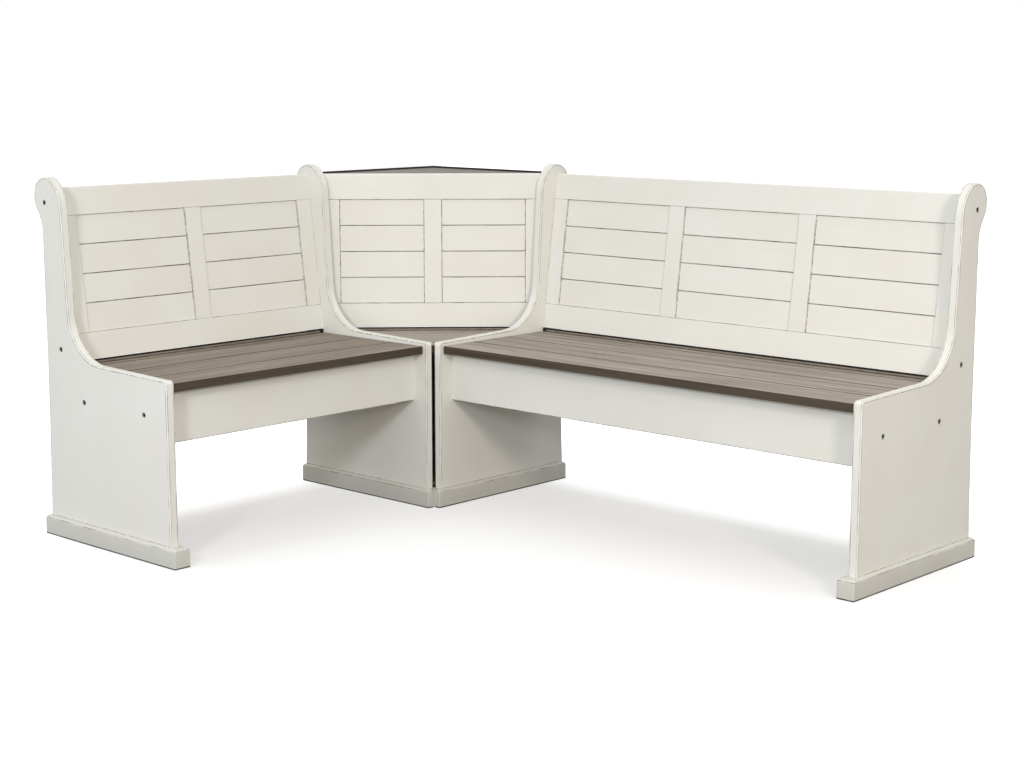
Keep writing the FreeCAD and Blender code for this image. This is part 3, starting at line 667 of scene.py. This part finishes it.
floor_mesh = bpy.data.meshes.new("floor")
floor_bm = bmesh.new()
bmesh.ops.create_grid(floor_bm, x_segments=1, y_segments=1, size=floor_half)
floor_bm.to_mesh(floor_mesh)
floor_bm.free()
floor = bpy.data.objects.new("floor", floor_mesh)
bpy.context.scene.collection.objects.link(floor)
floor_paint = bpy.data.materials.new("floor_paint")
floor_paint.use_nodes = True
tree = floor_paint.node_tree
tree.nodes.clear()
seen = seen_share(tree)
place = add(tree, "ShaderNodeTexCoord").outputs["Object"]
apart = add(tree, "ShaderNodeSeparateXYZ", {"Vector": place})
far = add(tree, "ShaderNodeVectorMath", {0: place}, operation="LENGTH").outputs["Value"]
near = ramp(tree, far, shadow_fades, shadow_ends, 1.0, 0.0)
inside_x = ramp(tree, apart.outputs["X"], *left_wall)
inside_y = ramp(tree, apart.outputs["Y"], *rear_wall)
wall_side = add(tree, "ShaderNodeMath", {0: inside_x, 1: inside_y}, operation="MULTIPLY").outputs[0]
shaded = add(tree, "ShaderNodeMath", {0: near, 1: wall_side}, operation="MULTIPLY").outputs[0]
# Painted light: the floor glows at full strength beyond the walls' lines and far from the bench,
# which washes out the shadow that falls there.
lift = ramp(tree, shaded, 0.0, 1.0, 1.0, floor_lift)
matt = ramp(tree, seen, 0.0, 1.0, floor_bounce, floor_seen)
matt_floor = add(tree, "ShaderNodeBsdfDiffuse", {"Color": matt})
lift = add(tree, "ShaderNodeMath", {0: seen, 1: lift}, operation="MULTIPLY").outputs[0]
glow = add(tree, "ShaderNodeEmission", {"Color": (1, 1, 1, 1), "Strength": lift})
both = add(tree, "ShaderNodeAddShader", {0: matt_floor.outputs[0], 1: glow.outputs[0]})
add(tree, "ShaderNodeOutputMaterial", {"Surface": both.outputs[0]})
floor_mesh.materials.append(floor_paint)

sky_low, sky_high = 0.40, 1.10
world = bpy.data.worlds.new("room")
bpy.context.scene.world = world
world.use_nodes = True
tree = world.node_tree
tree.nodes.clear()
seen = seen_share(tree)
way = add(tree, "ShaderNodeTexCoord").outputs["Generated"]
rise = add(tree, "ShaderNodeSeparateXYZ", {"Vector": way}).outputs["Z"]
sky_light = ramp(tree, rise, 0.0, 1.0, sky_low, sky_high)
strength = add(tree, "ShaderNodeMix", {"Factor": seen, "A": sky_light, "B": 1.0},
               data_type="FLOAT").outputs["Result"]
tint = lay_over(tree, linear("#fefefd"), "#ffffff", seen, 0.0, 1.0)
sky = add(tree, "ShaderNodeBackground", {"Color": tint, "Strength": strength})
add(tree, "ShaderNodeOutputWorld", {"Surface": sky.outputs[0]})


# The lamps, softboxes of nearly white light: one on each side of the camera, cool at the left and
# warm at the right, a weak one over the camera, and a low one that lights the left end.

def soft_lamp(name, place, aim, size, power, colour):
    """A square softbox that faces the object, with its size in metres and its power in watts."""
    light = bpy.data.lights.new(name, "AREA")
    light.size = size
    light.energy = power
    light.color = linear(colour)[:3]
    lamp = bpy.data.objects.new(name, light)
    lamp.location = place
    lamp.rotation_euler = (Vector(aim) - Vector(place)).to_track_quat("-Z", "Y").to_euler()
    bpy.context.scene.collection.objects.link(lamp)


soft_lamp("lamp_left", (1.57, -4.01, 1.92), (0.0, 0.0, 0.3), 0.6, 65.0, "#f5f8fe")
soft_lamp("lamp_right", (4.01, -1.57, 1.92), (0.0, 0.0, 0.3), 0.6, 60.0, "#fff1e1")
soft_lamp("lamp_front", (2.83, -2.83, 1.9), (0.0, 0.0, 0.4), 1.2, 12.0, "#f3f7ff")
soft_lamp("lamp_end", (-1.0, -4.2, 1.2), (-0.8, -0.7, 0.4), 0.6, 22.0, "#f4f7ff")


# The camera, solved from the straight edges of the bench in the photograph: its place in metres,
# its turn and its tilt below the horizon in radians.

camera_place = (3.34545, -3.55325, 1.26166)
camera_yaw = 0.7479868
camera_down = 0.1676027
focal_pixels = 1867.67
image_width = 1024
sensor_width = 36.0
camera_data = bpy.data.cameras.new("camera")
camera_data.sensor_width = sensor_width
camera_data.lens = focal_pixels / image_width * sensor_width
camera = bpy.data.objects.new("camera", camera_data)
camera.location = camera_place
camera.rotation_euler = (math.pi / 2 - camera_down, 0, camera_yaw)
bpy.context.scene.collection.objects.link(camera)
bpy.context.scene.camera = camera
bpy.context.scene.view_settings.view_transform = "Standard"
